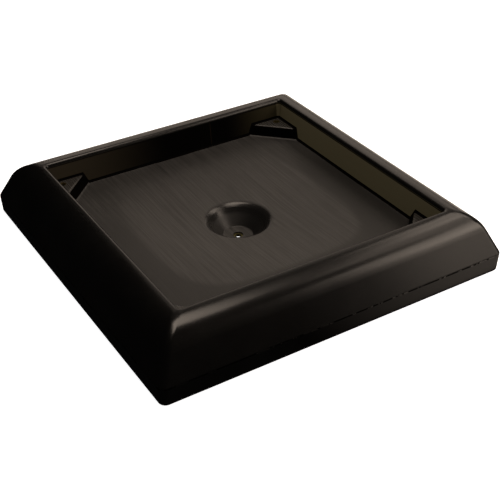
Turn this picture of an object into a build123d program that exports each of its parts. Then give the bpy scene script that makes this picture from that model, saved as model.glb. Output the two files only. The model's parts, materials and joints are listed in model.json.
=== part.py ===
from build123d import *
import os
from math import cos, radians, sin, sqrt, tan

# Weighted square base for a bolt-on street frame. Millimetres, +Z up.
# Origin: on the ground, under the centre of the base.
# Front is -Y, back +Y, left -X, right +X.

# ------------------------------------------------------------ driving dimensions
# Whole body
base_width = 660.0          # underside, flat to flat
crease_overhang = 1.4       # the widest line stands this far outside the underside
body_height = 108.0         # underside of the pan to the crest of the rim
seam_height = 34.0          # underside of the pan to the joint with the cover
skirt_lean = 26.0           # lean of the skirt from upright, degrees
crease_round = 6.0          # rounding above the seam, from upright to the skirt's lean
seam_corner_radius = 13.0   # upright corners at the seam
crest_corner_radius = 9.0   # upright corners at the crest
bottom_round = 5.0          # rounding along the bottom edge
least_corner = 2.0          # inside corners are never sharper than this
shell = 5.0                 # moulded wall of the cover

# Tray
rim_width = 79.8            # edge of the underside to the edge of the tray floor
tray_floor_height = 50.4    # top of the tray floor at the wall's foot
tray_draft = 6.9            # lean of the tray walls, degrees
tray_corner_radius = 5.0
rim_land = 5.6              # strip between the tray mouth and the roll
lip_round = 6.0             # rounding of the tray mouth
foot_round = 4.5            # rounding where the tray walls and pads meet the floor

# Dish and anchor well in the tray floor
dish_margin = 55.2          # tray wall to the edge of the dish
dish_drop = 9.9             # tray floor down to the lip of the well
dish_edge_round = 1200.0    # very slow bend from the floor into the dish
well_radius = 58.0          # lip of the well, before rounding
well_lip_round = 20.0
disc_radius = 27.5          # flat disc at the bottom of the well
disc_edge_round = 2.5
disc_thickness = 3.5
well_hole = 18.6            # hole in the disc
well_wall = 6.8             # wall round the well, measured level

# Corner pads
pad_height = 21.4           # above the tray floor
pad_depth = 51.6            # tray corner to the pad's front face at its foot, on the diagonal
pad_lean = 8.6              # the front face leans back by this much at the top
pad_round = 4.0
pad_hole_inset = 14.2       # hole centre to the foot of each tray wall
pad_hole = 12.7

# Pan
pan_floor = 4.0
pan_wall = 5.0
flange_depth = 10.0         # thickened band under the seam
tongue_height = 6.0         # stands up inside the cover
tongue_thickness = 3.0
tongue_clearance = 0.4
seam_chamfer = 0.5

# Ballast bars
bar_end_room = 3.0          # bar end to the thickening over a foot, or to the next bar
bar_height = 84.0
bar_inner_gap = 4.4         # to the tray wall, at the top of the bar
bar_outer_gap = 3.2         # to the tongue and to the skirt
bar_edge_round = 4.0
stop_thickness = 4.0
stop_height = 24.0
stop_gap = 1.0

# Screws, bosses and ribs
screw_shank = 5.8
screw_length = 28.0
screw_head = 12.0
screw_head_height = 3.6
screw_recess = 4.5          # the head lies this deep in the pan
screw_tip_room = 2.0        # empty hole beyond the tip
cross_width = 1.2           # driver slot in the head
cross_depth = 1.8
screw_clearance = 0.8       # on the diameter of the hole in the pan
thread_clearance = 0.3      # on the diameter of the hole in the boss
boss_diameter = 16.0
screw_pad_diameter = 22.0
screw_pad_height = 4.0      # above the pan floor
bar_hole = 25.0             # passage for a boss and its screw pad
rim_boss_spread = 340.0     # between the two bosses of one side
rib_spacing = 250.0
rib_thickness = 4.0

# Pad nuts
nut_barrel = 15.8
nut_barrel_length = 16.0
nut_flange = 24.0
nut_flange_thickness = 2.0
nut_bore = 10.3
nut_clearance = 0.2
nut_boss = 26.0

# Anchor bush
bush_clearance = 0.3
bush_bore = 10.5
bush_below_disc = 2.5       # the bush stops this far below the disc
bush_flange = 36.0
bush_flange_thickness = 1.5

# Rubber feet
foot_diameter = 50.0
foot_proud = 2.0
foot_pocket_depth = 2.5
foot_pocket_clearance = 0.6
foot_backing = 60.0         # thickened disc of the pan over each foot
foot_backing_height = 2.5
foot_edge_round = 1.2
foot_inset = 42.0           # foot centre to the edge of the underside

# ------------------------------------------------------------ worked-out values
base_half = base_width / 2
crease_half = base_half + crease_overhang
lean = radians(skirt_lean)
draft = tan(radians(tray_draft))
tray_half = base_half - rim_width
mouth_half = tray_half + (body_height - tray_floor_height) * draft
crest_half = mouth_half + rim_land
# The roll is tangent to the skirt and to the land, which sets its radius.
# The skirt's straight line meets the upright of the crease at slope_start.
slope_start = seam_height + crease_round * tan(lean / 2)
skirt_reach = crease_half - (body_height - slope_start) * tan(lean) - crest_half
roll_radius = skirt_reach / (cos(lean) - (1 - sin(lean)) * tan(lean))
roll_centre_height = body_height - roll_radius
roll_steps = 8
crease_steps = 3

dish_radius = tray_half - dish_margin
lip_height = tray_floor_height - dish_drop
disc_top = pan_floor + disc_thickness
pad_top = tray_floor_height + pad_height
pad_face = tray_half * sqrt(2) - pad_depth
pad_hole_at = tray_half - pad_hole_inset
boss_foot = pan_floor + screw_pad_height

tongue_rise = seam_height + tongue_height - slope_start
tongue_outer = (
    crease_half - shell / cos(lean) - tongue_rise * tan(lean) - tongue_clearance
)
tongue_inner = tongue_outer - tongue_thickness
bar_top = pan_floor + bar_height
bar_inner = tray_half + (bar_top - tray_floor_height) * draft + shell + bar_inner_gap
bar_outer = tongue_inner - bar_outer_gap
rim_boss_out = (bar_inner + bar_outer) / 2
foot_offset = base_half - foot_inset
bar_length = 2 * (min(foot_offset - foot_backing / 2, bar_inner) - bar_end_room)

corners = {
    "front_left": (-1, -1),
    "front_right": (1, -1),
    "back_right": (1, 1),
    "back_left": (-1, 1),
}
sides = {"front": 0, "right": 90, "back": 180, "left": 270}


def tray_half_at(height):
    """Half width between the tray walls at one height."""
    return tray_half + (height - tray_floor_height) * draft


def square(half, radius, height):
    """A rounded square face at one height."""
    return Pos(0, 0, height) * RectangleRounded(2 * half, 2 * half, radius)


def cylinder(x, y, diameter, bottom, top):
    """An upright cylinder between two heights."""
    base = Pos(x, y, bottom) * Circle(diameter / 2)
    return extrude(base, amount=top - bottom)


def block(x_range, y_range, z_range):
    """A box given by its three ranges."""
    spans = [high - low for low, high in (x_range, y_range, z_range)]
    middle = [(low + high) / 2 for low, high in (x_range, y_range, z_range)]
    return Pos(*middle) * Box(*spans)


def screw_places():
    """Centres of the twelve screws: two a side under the rim, four under the tray."""
    places = []
    for angle in sides.values():
        for along in (-rim_boss_spread / 2, rim_boss_spread / 2):
            spot = Vector(along, -rim_boss_out, 0).rotate(Axis.Z, angle)
            places.append((spot.X, spot.Y, "rim"))
    for x_sign, y_sign in corners.values():
        places.append((x_sign * rib_spacing / 2, y_sign * rib_spacing / 2, "tray"))
    return places


# ------------------------------------------------------------ top cover
def skirt_body(inset):
    """The skirt and the roll as one solid, drawn in from the outside by inset."""
    bend = roll_radius - inset
    turn = crease_round - inset

    def corner(height):
        share = (height - seam_height) / (body_height - seam_height)
        radius = seam_corner_radius + share * (crest_corner_radius - seam_corner_radius)
        return max(radius - inset, least_corner)

    def roll_section(angle):
        height = roll_centre_height + bend * sin(angle)
        return square(crest_half + bend * cos(angle), corner(height), height)

    def crease_section(angle):
        height = seam_height + turn * sin(angle)
        return square(crease_half - inset - turn * (1 - cos(angle)), corner(height), height)

    crease_angles = [lean * i / crease_steps for i in range(crease_steps + 1)]
    crease = loft([crease_section(angle) for angle in crease_angles])
    skirt = loft([crease_section(lean), roll_section(lean)], ruled=True)
    angles = [lean + (radians(90) - lean) * i / roll_steps for i in range(roll_steps + 1)]
    roll = loft([roll_section(angle) for angle in angles])
    return crease + skirt + roll


def tray_body(grow, bottom, top):
    """The tray's four drafted walls as a solid, grown outwards by grow."""
    radius = tray_corner_radius + grow
    low = square(tray_half_at(bottom) + grow, radius, bottom)
    high = square(tray_half_at(top) + grow, radius, top)
    return loft([low, high], ruled=True)


def pad_prism(x_sign, y_sign):
    """One corner pad, running out past the tray walls."""
    outer = mouth_half + 2 * shell

    def triangle(height, face):
        reach = face * sqrt(2) - outer
        points = [(outer, outer), (outer, reach), (reach, outer)]
        points = [(x * x_sign, y * y_sign) for x, y in points]
        return Pos(0, 0, height) * make_face(Polyline(*points, close=True))

    low = triangle(tray_floor_height - dish_drop, pad_face - pad_lean * dish_drop / pad_height)
    high = triangle(pad_top, pad_face + pad_lean)
    return loft([low, high], ruled=True)


def pad_hollow(x_sign, y_sign):
    """The space under one pad, with a boss left standing for its nut."""
    face = pad_face + pad_lean + shell
    reach = face * sqrt(2) - tray_half
    points = [(tray_half, tray_half), (tray_half, reach), (reach, tray_half)]
    points = [(x * x_sign, y * y_sign) for x, y in points]
    outline = Pos(0, 0, tray_floor_height - shell) * make_face(Polyline(*points, close=True))
    hollow = extrude(outline, amount=pad_height)
    x, y = x_sign * pad_hole_at, y_sign * pad_hole_at
    return hollow - cylinder(x, y, nut_boss, 0, pad_top)


def well_cut():
    """The shallow dish and the conical well, as the space above them."""
    outline = Polyline(
        (0, disc_top),
        (disc_radius, disc_top),
        (well_radius, lip_height),
        (dish_radius, tray_floor_height),
        (tray_half, tray_floor_height),
        (tray_half, tray_floor_height + 1),
        (0, tray_floor_height + 1),
        close=True,
    )
    profile = make_face(outline)
    corner_rounds = (
        (disc_radius, disc_top, disc_edge_round),
        (well_radius, lip_height, well_lip_round),
        (dish_radius, tray_floor_height, dish_edge_round),
    )
    for radius, height, rounding in corner_rounds:
        corner = profile.vertices().sort_by_distance((radius, height, 0))[0]
        profile = fillet(corner, rounding)
    return revolve(Plane.XZ * profile, axis=Axis.Z)


def well_shell():
    """The moulded wall under the dish and round the well, down to the pan."""
    outline = Polyline(
        (0, pan_floor),
        (disc_radius + well_wall, pan_floor),
        (well_radius + well_wall, lip_height - shell),
        (dish_radius, tray_floor_height - shell),
        (dish_radius, tray_floor_height),
        (0, tray_floor_height),
        close=True,
    )
    return revolve(Plane.XZ * make_face(outline), axis=Axis.Z)


def tray_ribs():
    """Four plates that cross under the tray floor."""
    rib_half = tray_half + shell / 2
    top = tray_floor_height - shell / 2
    ribs = Part()
    for offset in (-rib_spacing / 2, rib_spacing / 2):
        near, far = offset - rib_thickness / 2, offset + rib_thickness / 2
        ribs += block((-rib_half, rib_half), (near, far), (boss_foot, top))
        ribs += block((near, far), (-rib_half, rib_half), (boss_foot, top))
    return ribs


def top_cover():
    """Skirt, rolled rim, tray, pads and well: one hollow moulding, open below."""
    outside = skirt_body(0)
    cover = outside - skirt_body(shell)
    cover += tray_body(shell, tray_floor_height - shell, body_height) & outside
    cover += well_shell()
    cover += tray_ribs()
    boss_room = skirt_body(shell / 2) + skirt_socket()
    for x, y, place in screw_places():
        if place == "rim":
            cover += cylinder(x, y, boss_diameter, boss_foot, body_height) & boss_room
        else:
            cover += cylinder(x, y, boss_diameter, boss_foot, tray_floor_height - shell / 2)

    cover -= tray_room()
    cover -= well_cut()
    cover = round_mouth(cover)

    for x_sign, y_sign in corners.values():
        x, y = x_sign * pad_hole_at, y_sign * pad_hole_at
        cover -= pad_hollow(x_sign, y_sign)
        cover -= cylinder(x, y, nut_barrel + nut_clearance, 0, pad_top - shell)
        cover -= cylinder(x, y, pad_hole, pad_top - shell, pad_top)
    cover -= cylinder(0, 0, well_hole, 0, disc_top)
    hole_top = pan_floor + screw_length
    for x, y, place in screw_places():
        cover -= cylinder(x, y, screw_shank + thread_clearance, boss_foot, hole_top)
    return cover


def skirt_socket():
    """The space below the seam that the rim bosses reach down into."""
    return block((-bar_outer, bar_outer), (-bar_outer, bar_outer), (0, seam_height))


def tray_room():
    """The space above the tray floor, between the walls and the pads."""
    room = tray_body(0, tray_floor_height, body_height + shell)
    for x_sign, y_sign in corners.values():
        room -= pad_prism(x_sign, y_sign)
    foot = room.edges().filter_by(lambda e: abs(e.center().Z - tray_floor_height) < 0.01)
    room = fillet(foot, foot_round)
    pad_fronts = room.edges().filter_by(
        lambda e: e.geom_type == GeomType.LINE
        and abs(e.center().Z - pad_top) < 0.01
        and abs(abs(e.center().X) - abs(e.center().Y)) < 1
    )
    return fillet(pad_fronts, pad_round)


def round_mouth(cover):
    """Round the mouth of the tray."""
    mouth = cover.edges().filter_by(
        lambda e: abs(e.center().Z - body_height) < 0.01
        and max(abs(e.center().X), abs(e.center().Y)) < mouth_half + rim_land / 2
    )
    return fillet(mouth, lip_round)


# ------------------------------------------------------------ bottom pan
def ring(outer, inner, radius, bottom, top):
    """A square hoop between two half widths."""
    hoop = extrude(square(outer, radius, bottom), amount=top - bottom)
    inner_radius = max(radius - (outer - inner), least_corner)
    return hoop - extrude(square(inner, inner_radius, bottom), amount=top - bottom)


def bottom_pan():
    """Lower band and floor, with a tongue that locates the cover."""
    radius = seam_corner_radius
    sections = [
        square(base_half, radius, 0),
        square(crease_half, radius, seam_height - seam_chamfer),
        square(crease_half - seam_chamfer, radius - seam_chamfer, seam_height),
    ]
    pan = loft(sections, ruled=True)
    bottom = pan.edges().filter_by(lambda e: abs(e.center().Z) < 0.01)
    pan = fillet(bottom, bottom_round)
    inside = square(base_half - pan_wall, radius - pan_wall, pan_floor)
    pan -= extrude(inside, amount=seam_height)
    flange_bottom = seam_height - flange_depth
    pan += ring(base_half - pan_wall / 2, tongue_inner, radius / 2, flange_bottom, seam_height)
    tongue_top = seam_height + tongue_height
    pan += ring(tongue_outer, tongue_inner, radius / 2, flange_bottom, tongue_top)
    pan += bar_stops()

    for x, y, place in screw_places():
        pan += cylinder(x, y, screw_pad_diameter, 0, boss_foot)
    for x_sign, y_sign in corners.values():
        x, y = x_sign * foot_offset, y_sign * foot_offset
        pan += cylinder(x, y, foot_backing, 0, pan_floor + foot_backing_height)
        pan -= cylinder(x, y, foot_diameter + foot_pocket_clearance, 0, foot_pocket_depth)
    for x, y, place in screw_places():
        pan -= cylinder(x, y, screw_head + 2 * screw_clearance, 0, screw_recess)
        pan -= cylinder(x, y, screw_shank + screw_clearance, 0, boss_foot)
    pan -= cylinder(0, 0, well_hole, 0, pan_floor)
    pan -= cylinder(0, 0, bush_flange + 2 * bush_clearance, 0, bush_flange_thickness)
    return pan


def bar_stops():
    """Low walls that keep each ballast bar from sliding."""
    stops = Part()
    near = bar_length / 2 + stop_gap
    top = pan_floor + stop_height
    root = pan_floor / 2
    inner = bar_inner - stop_gap
    for angle in sides.values():
        for x_low in (-near - stop_thickness, near):
            wall = block((x_low, x_low + stop_thickness), (-base_half + pan_wall / 2, -inner),
                         (root, top))
            stops += wall.rotate(Axis.Z, angle)
        rail = block((-bar_length / 3, bar_length / 3), (-inner, -inner + stop_thickness),
                     (root, pan_floor + stop_height / 2))
        stops += rail.rotate(Axis.Z, angle)
    return stops


# ------------------------------------------------------------ what the shell holds
def ballast_bar():
    """One cast bar for the front side, shaped to the hollow of the rim."""
    slope_in = (shell + bar_outer_gap) / cos(lean)
    shoulder = slope_start + (crease_half - slope_in - bar_outer) / tan(lean)
    cheek = roll_centre_height + roll_radius * sin(lean)
    cheek_out = crease_half - slope_in - (cheek - slope_start) * tan(lean)
    crown = roll_radius - shell - 2 * bar_outer_gap
    crown_out = crest_half + sqrt(max(crown**2 - (bar_top - roll_centre_height) ** 2, 0))
    outline = Polyline(
        (bar_inner, pan_floor),
        (bar_outer, pan_floor),
        (bar_outer, shoulder),
        (cheek_out, cheek),
        (crown_out, bar_top),
        (bar_inner, bar_top),
        close=True,
    )
    profile = make_face(outline)
    shortest = min(edge.length for edge in profile.edges())
    profile = fillet(profile.vertices(), min(bar_edge_round, shortest / 3))
    section = Plane(origin=(bar_length / 2, 0, 0), x_dir=(0, -1, 0), z_dir=(-1, 0, 0))
    bar = extrude(section * profile, amount=bar_length)
    for along in (-rim_boss_spread / 2, rim_boss_spread / 2):
        bar -= cylinder(along, -rim_boss_out, bar_hole, 0, body_height)
    return bar


def pad_nut():
    """Flanged thread insert, pushed up into a pad's boss from below."""
    seat = tray_floor_height - shell
    nut = cylinder(0, 0, nut_flange, seat - nut_flange_thickness, seat)
    nut += cylinder(0, 0, nut_barrel, seat, seat + nut_barrel_length)
    return nut - cylinder(0, 0, nut_bore, 0, pad_top)


def anchor_bush():
    """Flanged bush that lines the hole for a ground anchor."""
    bush = cylinder(0, 0, bush_flange, 0, bush_flange_thickness)
    bush += cylinder(0, 0, well_hole - bush_clearance, 0, disc_top - bush_below_disc)
    return bush - cylinder(0, 0, bush_bore, 0, disc_top)


def screw():
    """Pan-head screw with a cross recess, driven up from the underside."""
    head_low = screw_recess - screw_head_height
    body = cylinder(0, 0, screw_head, head_low, screw_recess)
    rim = body.edges().filter_by(lambda e: abs(e.center().Z - head_low) < 0.01)
    body = fillet(rim, screw_head_height / 2)
    body += cylinder(0, 0, screw_shank, screw_recess, screw_recess + screw_length - screw_tip_room)
    half_length, half_width = screw_head / 4, cross_width / 2
    cut = block((-half_length, half_length), (-half_width, half_width),
                (head_low, head_low + cross_depth))
    for spin in (0, 90):
        body -= cut.rotate(Axis.Z, spin)
    return body


def rubber_foot():
    """Round pad glued into its pocket under a corner."""
    foot = cylinder(0, 0, foot_diameter, -foot_proud, foot_pocket_depth)
    edge = foot.edges().filter_by(lambda e: abs(e.center().Z + foot_proud) < 0.01)
    return fillet(edge, foot_edge_round)


# ------------------------------------------------------------ write the pieces
def write(name, shape):
    """Stand a piece on the ground plane and save it."""
    placed = Pos(0, 0, foot_proud) * shape
    placed.label = name
    export_step(placed, f"parts/{name}.step")


def main():
    os.makedirs("parts", exist_ok=True)
    write("top_cover", top_cover())
    write("bottom_pan", bottom_pan())
    bar = ballast_bar()
    for side, angle in sides.items():
        write(f"ballast_bar_{side}", bar.rotate(Axis.Z, angle))
    nut = pad_nut()
    foot = rubber_foot()
    for corner, (x_sign, y_sign) in corners.items():
        write(f"pad_nut_{corner}", Pos(x_sign * pad_hole_at, y_sign * pad_hole_at, 0) * nut)
        write(f"rubber_foot_{corner}", Pos(x_sign * foot_offset, y_sign * foot_offset, 0) * foot)
    write("anchor_bush", anchor_bush())
    one = screw()
    screws = [Pos(x, y, 0) * one for x, y, place in screw_places()]
    write("pan_screws", Compound(children=screws))


main()
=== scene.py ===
import json
import math
import random
from types import SimpleNamespace
import bmesh
import bpy
from mathutils import Matrix, Vector


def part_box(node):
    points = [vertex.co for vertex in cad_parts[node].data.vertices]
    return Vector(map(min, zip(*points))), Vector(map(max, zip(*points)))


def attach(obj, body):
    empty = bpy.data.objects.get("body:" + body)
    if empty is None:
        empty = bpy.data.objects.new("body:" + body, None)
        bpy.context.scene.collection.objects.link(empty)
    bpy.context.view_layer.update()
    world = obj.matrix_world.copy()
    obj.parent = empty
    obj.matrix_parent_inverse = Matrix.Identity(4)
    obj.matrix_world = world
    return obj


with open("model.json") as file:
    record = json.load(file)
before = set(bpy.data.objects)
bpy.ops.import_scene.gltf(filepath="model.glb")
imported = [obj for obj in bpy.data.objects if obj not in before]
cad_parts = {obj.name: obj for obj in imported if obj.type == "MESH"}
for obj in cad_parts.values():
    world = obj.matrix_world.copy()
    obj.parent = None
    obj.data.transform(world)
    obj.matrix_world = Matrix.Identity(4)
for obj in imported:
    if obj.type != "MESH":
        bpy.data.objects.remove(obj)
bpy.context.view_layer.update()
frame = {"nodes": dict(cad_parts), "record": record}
NODES = frame["nodes"]
MOUNTS = {mount["name"]: mount for mount in frame["record"]["mounts"]}
MM = 0.001


def rgb(red, green, blue):
    return (red, green, blue, 1.0)


# ------------------------------------------------------------ sizes, from the frame
TONGUE_HEIGHT = 6 * MM                              # the pan's tongue stands above the seam
PAD_HEIGHT = 21.4 * MM                              # above the tray floor
PAD_HOLE_INSET = 14.2 * MM                          # hole centre to the foot of a tray wall
WALL_SPREAD = 7.0 * MM                              # foot to top of a tray wall, level
PAD_REACH = 73.0 * MM                               # tray corner to a pad's foot, |x| + |y|
PAD_CLIMB = 0.57                                    # growth of |x| + |y| up a pad's front
PAD_THICK = 15.0 * MM                               # what that sum spans over the front

RIM_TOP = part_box("top_cover")[1].z
CREASE_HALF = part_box("bottom_pan")[1].x
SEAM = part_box("bottom_pan")[1].z - TONGUE_HEIGHT
PAD_TOP = MOUNTS["pad_bolts"]["pos_m"][2]
PAD_HOLE_AT = MOUNTS["pad_bolts"]["dims"]["spacing_x_mm"] / 2 * MM
TRAY_FLOOR = PAD_TOP - PAD_HEIGHT
TRAY_HALF = PAD_HOLE_AT + PAD_HOLE_INSET            # foot of the tray walls
MOUTH_HALF = TRAY_HALF + WALL_SPREAD                # top of the tray walls
PAD_FOOT = TRAY_HALF * 2 - PAD_REACH                # |x| + |y| at the foot of a pad's front

# ------------------------------------------------------------ camera and light
CAMERA_TURN = (-31.47, 33.91, -0.62)                # azimuth, elevation, roll, in degrees
CAMERA_PLACE = (-0.7942, -1.3382, 1.0210)
CAMERA_LENS, SENSOR_WIDTH = 73.29, 36.0             # mm

WHITE, FAINT_WARM = rgb(1, 1, 1), rgb(1.0, 0.95, 0.88)
WORLD_SEEN, WORLD_ON_MATT, WORLD_REFLECTED = 1.0, 0.14, 0.004
FLOOR_HALF = 6.0
FLOOR_GLOW = 0.98
WARM = (1.0, 0.84, 0.70)
LIGHT_TARGET = (0, 0, 0.08)
GROUND_LIGHT_HEIGHT = 0.0015

# name, place, width and height, radiance
LAMPS = (
    ("overhead", (0.22, 0.02, 2.15), (1.25, 0.9), 4.2),
    ("key", (1.53, 0.17, 1.56), (0.9, 0.7), 2.4),
    ("back_panel", (1.04, 1.46, 1.50), (1.4, 0.7), 0.65),
    ("backdrop", (1.35, 1.90, 0.76), (2.4, 0.9), 0.72),
    ("side_box", (1.54, -1.30, 0.60), (1.3, 1.0), 1.5),
    ("side_top", (1.54, -1.36, 1.15), (0.95, 0.85), 3.0),
    ("side_fill", (1.46, -0.51, 1.72), (1.0, 0.8), 1.4),
)
# name, x range, y range, radiance
GROUND_LAMPS = (
    ("ground_back", (-0.10, 1.70), (0.36, 1.80), 0.8),
    ("ground_right", (0.36, 1.70), (-0.20, 0.36), 0.8),
)
GLOW_X, GLOW_Y = (-0.08, 1.20), (-0.72, -0.336)
GLOW_FULL_FROM, GLOW_RADIANCE = 0.36, 0.46          # x of full strength, and the strength

# ------------------------------------------------------------ colours, linear
# BLACK paints shade on the tray walls and pad fronts, and the dark gaps of the seam
BLACK = rgb(0.0012, 0.0010, 0.0009)
SATIN_DARK, SATIN_LIGHT = rgb(0.0035, 0.0033, 0.0031), rgb(0.0055, 0.0052, 0.0050)
STREAK_DARK, STREAK_LIGHT = rgb(0.0155, 0.0149, 0.0142), rgb(0.059, 0.0569, 0.0547)
FLOOR_CLOUD = rgb(0.022, 0.0212, 0.0205)
FLOOR_MARGIN_SHADE = rgb(0.010, 0.0095, 0.0090)           # painted shade on the tray floor outside the dish
# the well's wall, painted darker than the floor as shade in the recess
WELL_WALL_SHADE = rgb(0.012, 0.0115, 0.0110)
PAD_GREY = rgb(0.036, 0.034, 0.032)
# olive of the back wall, painted darker at its left end as shade
BACK_OLIVE_LEFT, BACK_OLIVE_RIGHT = rgb(0.042, 0.035, 0.024), rgb(0.070, 0.060, 0.034)
# olive of the right wall, painted lighter than the back wall's as painted light
LIT_RIGHT_OLIVE = rgb(0.205, 0.18, 0.108)
MOULD_BROWN = rgb(0.014, 0.009, 0.005)
HOLE_OLIVE = rgb(0.11, 0.085, 0.030)

# ------------------------------------------------------------ where the marks and the painted shade lie
LIP_END = 6.25 * MM                                 # below the rim's top: the lip's round ends
TOP_SHADE_LINE = 8.4 * MM                                 # below the rim's top: the painted shade line at the top of a wall ends
FOOT_SHADE_LINE = 4.8 * MM                                # above the tray floor: the painted shade line at the foot of a wall ends
PAD_SHADE_LINE = 2.5 * MM                                 # above a pad: the painted shade line over it ends
WALL_START = 2.6 * MM                               # inside the foot of the tray walls
FLOOR_END = 2.0 * MM                                # inside the foot of the tray walls
FLOOR_DEPTH = 25.0 * MM                             # below the rim's top, over every pad
PAD_EDGE = 1.0 * MM                                 # ahead of the foot of a pad's front
FRONT_SHADE_END = 1.8 * MM                                # off the tray floor, and off the pad's top: where the painted shade on a pad's front ends
PAD_TOP_FROM = 4.5 * MM                             # below the pad's top
PAD_TOP_END = 0.5 * MM                              # inside the foot of the tray walls
HOLE_RADIUS = 6.65 * MM                             # a pad hole with its edge
MOULD_LINE_X, MOULD_LINE_HALF = 0.091, 0.8 * MM     # upright witness line on the back wall
SHADE_FROM_RIGHT, SHADE_FROM_LEFT = (0.12, 0.32), (0.0, -0.25)    # x on the back wall over which its painted shade fades out, towards each end
OLIVE_TURN = (-0.10, 0.10)                          # x over which the back wall's olive changes, darker to the left as painted shade
DISH_EDGE = (0.176, 0.192)                          # squarish radius where the dish ends and the painted shade outside it begins
DISH_FADE = (0.05, 0.18)                            # y over which the painted shade outside the dish grows faint
WELL_INNER, WELL_OUTER = 27 * MM, 62 * MM           # the well's wall, from the middle
WELL_GLOSS_FROM = (42 * MM, 48 * MM)                # from the middle, up to the lip
SEAM_LINE_DROP = 0.2 * MM                           # the dashes run this far below the seam
SEAM_LINE_HALF = 1.2 * MM
SEAM_DEPTH = 1.6 * MM                               # inside the widest line of the base
SEAM_NOISE, SEAM_BREAK = (34, 34, 1), 0.475         # the dashes' breaks, along the sides only
STREAK_NOISE, FINE_NOISE = (420, 5, 60), (1500, 12, 200)
GRAIN, GRAIN_DEPTH = 900.0, 0.00001
STREAK_DEPTH = 0.00010
FULL_SPECULAR = 0.5

# ------------------------------------------------------------ trimming flash
FLASH_SINK = 0.06 * MM                              # inside the widest line of the base
FLASH_THICKNESS = 0.45 * MM
FLASH_STEP = 2.0 * MM
FLASH_BELOW = 0.3 * MM
FLASH_WOBBLE = 0.25 * MM
# name, angle, (start, end, height in mm) of each stretch, seed
FLASHES = (
    ("seam_flash_front", 0, [(-0.075, -0.062, 1.2), (-0.034, -0.012, 2.4), (0.004, 0.012, 1.2),
                             (0.060, 0.112, 0.8), (0.205, 0.214, 1.0), (0.300, 0.306, 0.8)], 3),
    ("seam_flash_right", 90, [(-0.21, -0.17, 0.9), (0.05, 0.064, 1.5)], 5),
    ("seam_flash_back", 180, [(-0.12, -0.09, 1.0), (0.16, 0.20, 0.8)], 7),
    ("seam_flash_left", 270, [(-0.05, -0.03, 1.1), (0.22, 0.25, 0.8)], 9),
)


# ------------------------------------------------------------ camera
def make_camera():
    """A long lens, from the front left, looking down."""
    azimuth, elevation, roll = (math.radians(angle) for angle in CAMERA_TURN)
    back = Vector((math.sin(azimuth) * math.cos(elevation),
                   -math.cos(azimuth) * math.cos(elevation),
                   math.sin(elevation)))
    side = Vector((0, 0, 1)).cross(back).normalized()
    up = back.cross(side)
    right = side * math.cos(roll) + up * math.sin(roll)
    top = up * math.cos(roll) - side * math.sin(roll)
    data = bpy.data.cameras.new("camera")
    data.lens, data.sensor_width = CAMERA_LENS, SENSOR_WIDTH
    camera = bpy.data.objects.new("camera", data)
    turn = Matrix((right, top, back)).transposed().to_4x4()
    camera.matrix_world = Matrix.Translation(CAMERA_PLACE) @ turn
    bpy.context.scene.collection.objects.link(camera)
    bpy.context.scene.camera = camera


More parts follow.
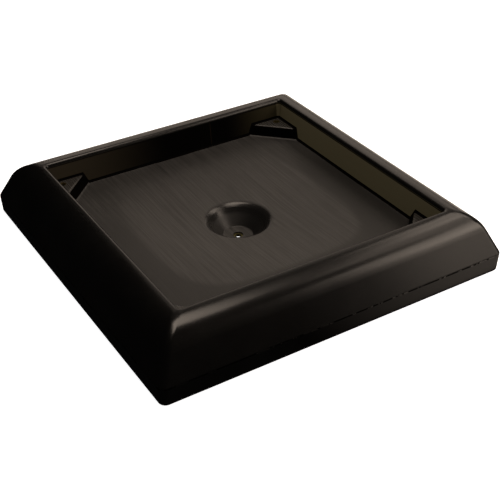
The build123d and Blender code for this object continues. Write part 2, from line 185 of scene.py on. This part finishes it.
# ------------------------------------------------------------ node helper
class Graph:
    """Short calls for building a material's nodes."""

    def __init__(self, name):
        self.material = bpy.data.materials.new(name)
        self.material.use_nodes = True
        self.nodes = self.material.node_tree.nodes
        self.links = self.material.node_tree.links
        self.shader = self.nodes["Principled BSDF"]
        self.place = self.nodes.new("ShaderNodeTexCoord").outputs["Object"]

    def put(self, value, socket):
        if isinstance(value, bpy.types.NodeSocket):
            self.links.new(value, socket)
        else:
            socket.default_value = value

    def feed(self, name, value):
        self.put(value, self.shader.inputs[name])

    def math(self, operation, *values, clamp=False):
        node = self.nodes.new("ShaderNodeMath")
        node.operation, node.use_clamp = operation, clamp
        for value, socket in zip(values, node.inputs):
            self.put(value, socket)
        return node.outputs[0]

    def both(self, *masks):
        """Where every mask holds."""
        result = masks[0]
        for mask in masks[1:]:
            result = self.math("MULTIPLY", result, mask)
        return result

    def either(self, *masks):
        """Where any mask holds."""
        result = masks[0]
        for mask in masks[1:]:
            result = self.math("MAXIMUM", result, mask)
        return result

    def outside(self, mask):
        """Where the mask doesn't hold."""
        return self.math("SUBTRACT", 1.0, mask)

    def blend(self, share, first, second):
        """A number that goes from first to second as the share goes from 0 to 1."""
        return self.math("ADD", self.math("MULTIPLY", self.outside(share), first),
                         self.math("MULTIPLY", share, second))

    def norm(self, first, second, power):
        """A round distance for a power of 2, and a squarish one above that."""
        raised = [self.math("POWER", self.math("ABSOLUTE", value), power)
                  for value in (first, second)]
        return self.math("POWER", self.math("ADD", *raised), 1 / power)

    def axes(self):
        node = self.nodes.new("ShaderNodeSeparateXYZ")
        self.links.new(self.place, node.inputs[0])
        return node.outputs

    def noise(self, scale, stretch=(1, 1, 1), detail=3.0, rough=0.55):
        mapping = self.nodes.new("ShaderNodeMapping")
        mapping.inputs["Scale"].default_value = stretch
        self.links.new(self.place, mapping.inputs["Vector"])
        node = self.nodes.new("ShaderNodeTexNoise")
        node.inputs["Scale"].default_value = scale
        node.inputs["Detail"].default_value = detail
        node.inputs["Roughness"].default_value = rough
        self.links.new(mapping.outputs[0], node.inputs["Vector"])
        return node.outputs["Fac"]

    def span(self, value, low, high, to_low=0.0, to_high=1.0):
        """Map a value's range to another, with a smooth step and no overshoot."""
        node = self.nodes.new("ShaderNodeMapRange")
        node.interpolation_type = "SMOOTHSTEP"
        for name, given in (("Value", value), ("From Min", low), ("From Max", high),
                            ("To Min", to_low), ("To Max", to_high)):
            self.put(given, node.inputs[name])
        return node.outputs["Result"]

    def above(self, value, edge, soft):
        """1 where the value is over the edge; the change is soft wide, about the edge."""
        return self.span(value, edge - soft / 2, edge + soft / 2)

    def below(self, value, edge, soft):
        """1 where the value is under the edge; the change is soft wide, about the edge."""
        return self.span(value, edge + soft / 2, edge - soft / 2)

    def mix(self, share, first, second):
        node = self.nodes.new("ShaderNodeMix")
        node.data_type = "RGBA"
        factor = [s for s in node.inputs if s.name == "Factor" and s.type == "VALUE"][0]
        first_in, second_in = [s for s in node.inputs if s.type == "RGBA"]
        for value, socket in ((share, factor), (first, first_in), (second, second_in)):
            self.put(value, socket)
        return [s for s in node.outputs if s.type == "RGBA"][0]

    def bump(self, height, depth, under=None):
        node = self.nodes.new("ShaderNodeBump")
        node.inputs["Distance"].default_value = depth
        node.inputs["Strength"].default_value = 1.0
        self.put(height, node.inputs["Height"])
        if under is not None:
            self.links.new(under, node.inputs["Normal"])
        return node.outputs["Normal"]


# ------------------------------------------------------------ stage
def make_world():
    """White to the eye, faint to matt surfaces, nearly black in reflections."""
    world = bpy.data.worlds.new("studio")
    bpy.context.scene.world = world
    world.use_nodes = True
    nodes, links = world.node_tree.nodes, world.node_tree.links
    nodes.clear()

    def background(colour, strength):
        shade = nodes.new("ShaderNodeBackground")
        shade.inputs["Color"].default_value = colour
        shade.inputs["Strength"].default_value = strength
        return shade.outputs[0]

    path = nodes.new("ShaderNodeLightPath")
    result = background(WHITE, WORLD_REFLECTED)
    for ray, colour, strength in (("Is Diffuse Ray", FAINT_WARM, WORLD_ON_MATT),
                                  ("Is Camera Ray", WHITE, WORLD_SEEN)):
        mix = nodes.new("ShaderNodeMixShader")
        links.new(path.outputs[ray], mix.inputs["Fac"])
        links.new(result, mix.inputs[1])
        links.new(background(colour, strength), mix.inputs[2])
        result = mix.outputs[0]
    world.cycles.sampling_method = "NONE"
    out = nodes.new("ShaderNodeOutputWorld")
    links.new(result, out.inputs["Surface"])


def sheet(name, x_range, y_range, height, material):
    """A flat rectangle at one height."""
    (left, right), (front, back) = x_range, y_range
    corners = [(left, front, height), (right, front, height),
               (right, back, height), (left, back, height)]
    mesh = bpy.data.meshes.new(name)
    mesh.from_pydata(corners, [], [(0, 1, 2, 3)])
    mesh.materials.append(material)
    piece = bpy.data.objects.new(name, mesh)
    bpy.context.scene.collection.objects.link(piece)
    return piece


def make_floor():
    """A pale floor that glows evenly and stays out of reflections."""
    g = Graph("pale_floor")
    g.feed("Base Color", rgb(0.85, 0.85, 0.85))
    g.feed("Roughness", 0.9)
    g.feed("Emission Color", WHITE)
    g.feed("Emission Strength", FLOOR_GLOW)
    edges = (-FLOOR_HALF, FLOOR_HALF)
    floor = sheet("floor", edges, edges, 0, g.material)
    floor.visible_glossy = False
    floor.visible_diffuse = False


def softbox(name, place, turn, size, radiance):
    """A rectangular warm lamp of even brightness; the camera doesn't see it."""
    data = bpy.data.lights.new(name, "AREA")
    data.shape = "RECTANGLE"
    data.size, data.size_y = size
    data.energy = radiance * math.pi * size[0] * size[1]
    data.color = WARM
    light = bpy.data.objects.new(name, data)
    light.location = place
    light.rotation_euler = turn
    light.visible_camera = False
    bpy.context.scene.collection.objects.link(light)


def ground_glow():
    """Lit ground in front, seen in reflections only; it fades out towards the left."""
    g = Graph("ground_glow")
    g.feed("Base Color", rgb(0, 0, 0))
    g.feed("Specular IOR Level", 0.0)
    g.feed("Emission Color", (*WARM, 1.0))
    along = g.axes()[0]
    g.feed("Emission Strength", g.span(along, GLOW_X[0], GLOW_FULL_FROM, 0.0, GLOW_RADIANCE))
    glow = sheet("ground_glow", GLOW_X, GLOW_Y, GROUND_LIGHT_HEIGHT, g.material)
    glow.visible_camera = glow.visible_diffuse = glow.visible_shadow = False


def make_lights():
    """Lamps aimed at the base, and lit ground that shines straight up."""
    for name, place, size, radiance in LAMPS:
        aim = Vector(LIGHT_TARGET) - Vector(place)
        softbox(name, place, aim.to_track_quat("-Z", "Y").to_euler(), size, radiance)
    ground_glow()
    for name, x_range, y_range, radiance in GROUND_LAMPS:
        x, y = (sum(ends) / 2 for ends in (x_range, y_range))
        size = (x_range[1] - x_range[0], y_range[1] - y_range[0])
        softbox(name, (x, y, GROUND_LIGHT_HEIGHT), (math.pi, 0, 0), size, radiance)


# ------------------------------------------------------------ the cover's plastic
def seam_dashes(g):
    """Dark gaps and scuffs here and there along the joint between the two shells."""
    x, y, z = g.axes()
    close = g.math("ABSOLUTE", g.math("SUBTRACT", z, SEAM - SEAM_LINE_DROP))
    line = g.below(close, SEAM_LINE_HALF, 0.4 * MM)
    outer = g.math("MAXIMUM", g.math("ABSOLUTE", x), g.math("ABSOLUTE", y))
    outer = g.above(outer, CREASE_HALF - SEAM_DEPTH, 0.8 * MM)
    breaks = g.noise(1.0, SEAM_NOISE, detail=5.0, rough=0.8)
    return g.both(line, outer, g.above(breaks, SEAM_BREAK, 0.03))


def satin_colour(g, cloud):
    """The black of the outside, with a slow change of tone."""
    return g.mix(g.span(cloud, 0.30, 0.70), SATIN_DARK, SATIN_LIGHT)


def cover_masks(g):
    """Where the regions of the cover lie, as masks from 0 to 1."""
    x, y, z = g.axes()
    far_x, far_y = g.math("ABSOLUTE", x), g.math("ABSOLUTE", y)
    reach = g.math("MAXIMUM", far_x, far_y)
    across = g.math("ADD", far_x, far_y)
    on = SimpleNamespace(x=x, y=y, from_middle=g.norm(x, y, 2.0))

    # tray walls, as a whole, then the back and the right one
    on.wall = g.both(g.below(reach, MOUTH_HALF + 1 * MM, 2 * MM),
                     g.below(z, RIM_TOP - LIP_END, 2.5 * MM),
                     g.above(reach, TRAY_HALF - WALL_START, 0.8 * MM))
    on.back = g.above(y, TRAY_HALF - FLOOR_END, 2 * MM)
    on.right = g.above(x, TRAY_HALF - FLOOR_END, 2 * MM)

    # painted shade: thin dark lines in the creases at the top and foot of each wall and over each
    # pad
    foot_shade = g.below(z, TRAY_FLOOR + FOOT_SHADE_LINE, 0.8 * MM)
    top_shade = g.above(z, RIM_TOP - TOP_SHADE_LINE, 0.8 * MM)
    climb = g.math("MULTIPLY", g.math("SUBTRACT", z, TRAY_FLOOR), PAD_CLIMB)
    pad_zone = g.above(g.math("SUBTRACT", across, climb), PAD_FOOT - PAD_EDGE, 1 * MM)
    pad_shade = g.both(pad_zone, g.below(z, PAD_TOP + PAD_SHADE_LINE, 1 * MM))
    on.lines = g.either(foot_shade, top_shade, pad_shade)

    # painted shade: the back wall darkens from both ends to black in its middle
    ends = g.either(g.span(x, *SHADE_FROM_RIGHT), g.span(x, *SHADE_FROM_LEFT))
    on.dark_middle = g.both(on.back, g.outside(ends))
    line_off = g.math("ABSOLUTE", g.math("SUBTRACT", x, MOULD_LINE_X))
    on.mould_line = g.both(on.back, on.wall, g.below(line_off, MOULD_LINE_HALF, 0.8 * MM),
                           g.outside(on.lines))

    # fronts, tops and holes of the pads; the fronts are painted black as painted shade
    on.pad_front = g.both(pad_zone, g.below(across, PAD_FOOT + PAD_THICK, 1 * MM),
                          g.below(reach, TRAY_HALF + 2 * MM, 2 * MM),
                          g.above(z, TRAY_FLOOR + FRONT_SHADE_END, 0.8 * MM),
                          g.below(z, PAD_TOP - FRONT_SHADE_END, 1.2 * MM))
    on.pad_top = g.both(pad_zone, g.above(z, PAD_TOP - PAD_TOP_FROM, 1 * MM),
                        g.below(reach, TRAY_HALF - PAD_TOP_END, 1 * MM))
    hole_x, hole_y = (g.math("SUBTRACT", far, PAD_HOLE_AT) for far in (far_x, far_y))
    on.pad_hole = g.below(g.norm(hole_x, hole_y, 2.0), HOLE_RADIUS, 0.5 * MM)

    # tray floor and the wall of the well
    on.floor = g.both(g.below(reach, TRAY_HALF - FLOOR_END, 2 * MM),
                      g.below(z, RIM_TOP - FLOOR_DEPTH, 10 * MM))
    on.well = g.both(g.below(on.from_middle, WELL_OUTER, 8 * MM),
                     g.above(on.from_middle, WELL_INNER, 2 * MM))
    on.seam = seam_dashes(g)
    return on


def floor_colour(g, on, tone, cloud):
    """Streaked tray floor with painted shade outside the dish, strongest at the front, a plain
    well painted darker as shade, and plain pads.
    """
    colour = g.mix(g.span(tone, 0.36, 0.64), STREAK_DARK, STREAK_LIGHT)
    colour = g.mix(g.span(cloud, 0.35, 0.75, 0.0, 0.30), colour, FLOOR_CLOUD)
    # painted shade: the floor outside the dish is darker, most towards the front
    margin_shade_share = g.span(on.y, *DISH_FADE, 0.75, 0.12)
    margin_shade = g.span(g.norm(on.x, on.y, 4.0), *DISH_EDGE, 0.0, margin_shade_share)
    colour = g.mix(margin_shade, colour, FLOOR_MARGIN_SHADE)
    # painted shade: the well's wall is darker than the floor
    colour = g.mix(on.well, colour, WELL_WALL_SHADE)
    return g.mix(on.pad_top, colour, PAD_GREY)


def wall_colour(g, on, satin):
    """Olive on the back and right tray walls, black plastic on the others; painted light makes
    the right wall's olive lighter, and painted shade darkens the back wall's olive to the left
    and to black in its middle.
    """
    colour = g.mix(g.span(on.x, *OLIVE_TURN), BACK_OLIVE_LEFT, BACK_OLIVE_RIGHT)
    # painted light: the right wall's olive is lighter
    colour = g.mix(on.right, colour, LIT_RIGHT_OLIVE)
    colour = g.mix(g.either(on.right, on.back), satin, colour)
    # painted shade: black in the middle of the back wall
    return g.mix(on.dark_middle, colour, BLACK)


def cover_plastic():
    """Black moulded plastic: streaked tray floor, flat olive tray walls, satin rim; with painted
    shade on the tray floor, well, walls and pad fronts, and painted light on the right tray wall.
    """
    g = Graph("cover_plastic")
    on = cover_masks(g)
    streaks = g.noise(1.0, STREAK_NOISE, detail=4.0, rough=0.7)
    fine = g.noise(1.0, FINE_NOISE, detail=2.0)
    cloud = g.noise(7.0)
    tone = g.math("ADD", g.math("MULTIPLY", streaks, 0.6), g.math("MULTIPLY", fine, 0.4))

    satin = satin_colour(g, cloud)
    colour = g.mix(on.floor, satin, floor_colour(g, on, tone, cloud))
    colour = g.mix(on.wall, colour, wall_colour(g, on, satin))
    # painted shade: black lines on the tray walls and black pad fronts; also the mould line,
    # olive pad holes and dark seam gaps
    for mask, paint in ((g.both(on.wall, on.lines), BLACK), (on.mould_line, MOULD_BROWN),
                        (on.pad_front, BLACK), (on.pad_hole, HOLE_OLIVE), (on.seam, BLACK)):
        colour = g.mix(mask, colour, paint)
    g.feed("Base Color", colour)

    # the well's wall is matt below and glossier at its lip
    well_rough = g.span(on.from_middle, *WELL_GLOSS_FROM, 0.42, 0.25)
    floor_rough = g.blend(on.well, g.span(tone, 0.25, 0.75, 0.40, 0.52), well_rough)
    floor_rough = g.math("SUBTRACT", floor_rough, g.math("MULTIPLY", on.pad_top, 0.20))
    rough = g.blend(on.floor, g.span(cloud, 0.3, 0.7, 0.22, 0.25), floor_rough)
    g.feed("Roughness", g.math("ADD", rough, g.math("MULTIPLY", on.wall, 0.7), clamp=True))
    matt = g.either(g.math("MULTIPLY", on.wall, 0.93), g.math("MULTIPLY", on.pad_front, 0.96),
                    on.seam)
    g.feed("Specular IOR Level", g.math("MULTIPLY", g.outside(matt), FULL_SPECULAR))

    scored = g.both(streaks, on.floor, g.outside(g.either(on.well, on.pad_top)))
    grain = g.bump(g.noise(GRAIN, detail=2.0), GRAIN_DEPTH)
    g.feed("Normal", g.bump(scored, STREAK_DEPTH, under=grain))
    return g.material


# ------------------------------------------------------------ other materials
def plain_plastic(name):
    """The same plastic as the rim."""
    g = Graph(name)
    cloud = g.noise(7.0)
    dashes = seam_dashes(g)
    g.feed("Base Color", g.mix(dashes, satin_colour(g, cloud), BLACK))
    g.feed("Specular IOR Level", g.span(dashes, 0.0, 1.0, FULL_SPECULAR, 0.0))
    g.feed("Roughness", g.span(cloud, 0.3, 0.7, 0.22, 0.26))
    g.feed("Normal", g.bump(g.noise(GRAIN, detail=2.0), GRAIN_DEPTH))
    return g.material


def metal(name, tint, dull, rough_low, rough_high):
    """Metal with fine turning marks and duller patches."""
    g = Graph(name)
    patches = g.noise(160.0, detail=4.0)
    g.feed("Base Color", g.mix(g.span(patches, 0.35, 0.7), rgb(*tint), rgb(*dull)))
    g.feed("Roughness", g.span(patches, 0.3, 0.7, rough_low, rough_high))
    g.feed("Normal", g.bump(g.noise(1.0, (300, 300, 5000), detail=2.0), 0.00003))
    g.feed("Metallic", 1.0)
    return g.material


def rubber():
    """Matt black rubber with pale specks."""
    g = Graph("foot_rubber")
    specks = g.noise(420.0, detail=5.0)
    colour = g.mix(g.span(specks, 0.3, 0.8), rgb(0.018, 0.018, 0.018), rgb(0.05, 0.048, 0.045))
    g.feed("Base Color", colour)
    g.feed("Roughness", g.span(specks, 0.3, 0.7, 0.7, 0.92))
    g.feed("Normal", g.bump(specks, 0.00015))
    return g.material


def concrete():
    """Cast concrete: sandy grain and wide blotches."""
    g = Graph("cast_concrete")
    sand, blotch = g.noise(700.0, detail=6.0), g.noise(18.0, detail=4.0)
    colour = g.mix(g.span(sand, 0.3, 0.7), rgb(0.24, 0.23, 0.21), rgb(0.42, 0.40, 0.37))
    g.feed("Base Color", g.mix(g.span(blotch, 0.3, 0.7, 0.0, 0.5), colour, rgb(0.30, 0.29, 0.27)))
    g.feed("Roughness", g.span(sand, 0.3, 0.7, 0.8, 0.98))
    g.feed("Normal", g.bump(sand, 0.0004))
    return g.material


def dress(node, material):
    """Give a CAD node one material in every slot."""
    mesh = NODES[node].data
    if not mesh.materials:
        mesh.materials.append(material)
    for index in range(len(mesh.materials)):
        mesh.materials[index] = material


def dress_all():
    """Give every CAD node its material; a name here stands for each node it begins."""
    looks = {
        "top_cover": cover_plastic(),
        "bottom_pan": plain_plastic("pan_plastic"),
        "pad_nut": metal("passivated_steel", (0.30, 0.25, 0.14), (0.16, 0.13, 0.07), 0.35, 0.6),
        "anchor_bush": metal("dull_brass", (0.14, 0.125, 0.055), (0.08, 0.07, 0.03), 0.4, 0.65),
        "pan_screws": metal("zinc_steel", (0.62, 0.63, 0.65), (0.42, 0.43, 0.44), 0.28, 0.5),
        "rubber_foot": rubber(),
        "ballast_bar": concrete(),
    }
    for node in NODES:
        for start, material in looks.items():
            if node.startswith(start):
                dress(node, material)


# ------------------------------------------------------------ trimming flash at the seam
def seam_flash(name, angle, stretches, seed, material):
    """Ragged slivers of plastic that stand along the joint on one side."""
    draw = random.Random(seed)
    shape = bmesh.new()
    out = CREASE_HALF - FLASH_SINK
    for start, end, tall in stretches:
        count = max(3, int((end - start) / FLASH_STEP))
        rings = []
        for index in range(count + 1):
            along = start + (end - start) * index / count
            edge = min(index, count - index) / count
            height = tall * MM * draw.uniform(0.35, 1.0) * min(1.0, 4 * edge + 0.15)
            low = SEAM - FLASH_BELOW * draw.uniform(0.2, 1.0)
            face = -out + FLASH_WOBBLE * draw.random()
            rear = face + FLASH_THICKNESS
            points = [(along, face, low), (along, face, SEAM + height),
                      (along, rear, SEAM + height * 0.9), (along, rear, low)]
            rings.append([shape.verts.new(point) for point in points])
        for near, far in zip(rings, rings[1:]):
            for corner in range(4):
                following = (corner + 1) % 4
                shape.faces.new((near[corner], near[following], far[following], far[corner]))
        shape.faces.new(rings[0][::-1])
        shape.faces.new(rings[-1])
    bmesh.ops.recalc_face_normals(shape, faces=shape.faces)
    mesh = bpy.data.meshes.new(name)
    shape.to_mesh(mesh)
    shape.free()
    mesh.transform(Matrix.Rotation(math.radians(angle), 4, "Z"))
    mesh.materials.append(material)
    piece = bpy.data.objects.new(name, mesh)
    bpy.context.scene.collection.objects.link(piece)
    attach(piece, "root")


make_camera()
make_world()
make_floor()
make_lights()
bpy.context.scene.view_settings.view_transform = "Standard"

dress_all()
flash_plastic = plain_plastic("flash_plastic")
for name, angle, stretches, seed in FLASHES:
    seam_flash(name, angle, stretches, seed, flash_plastic)
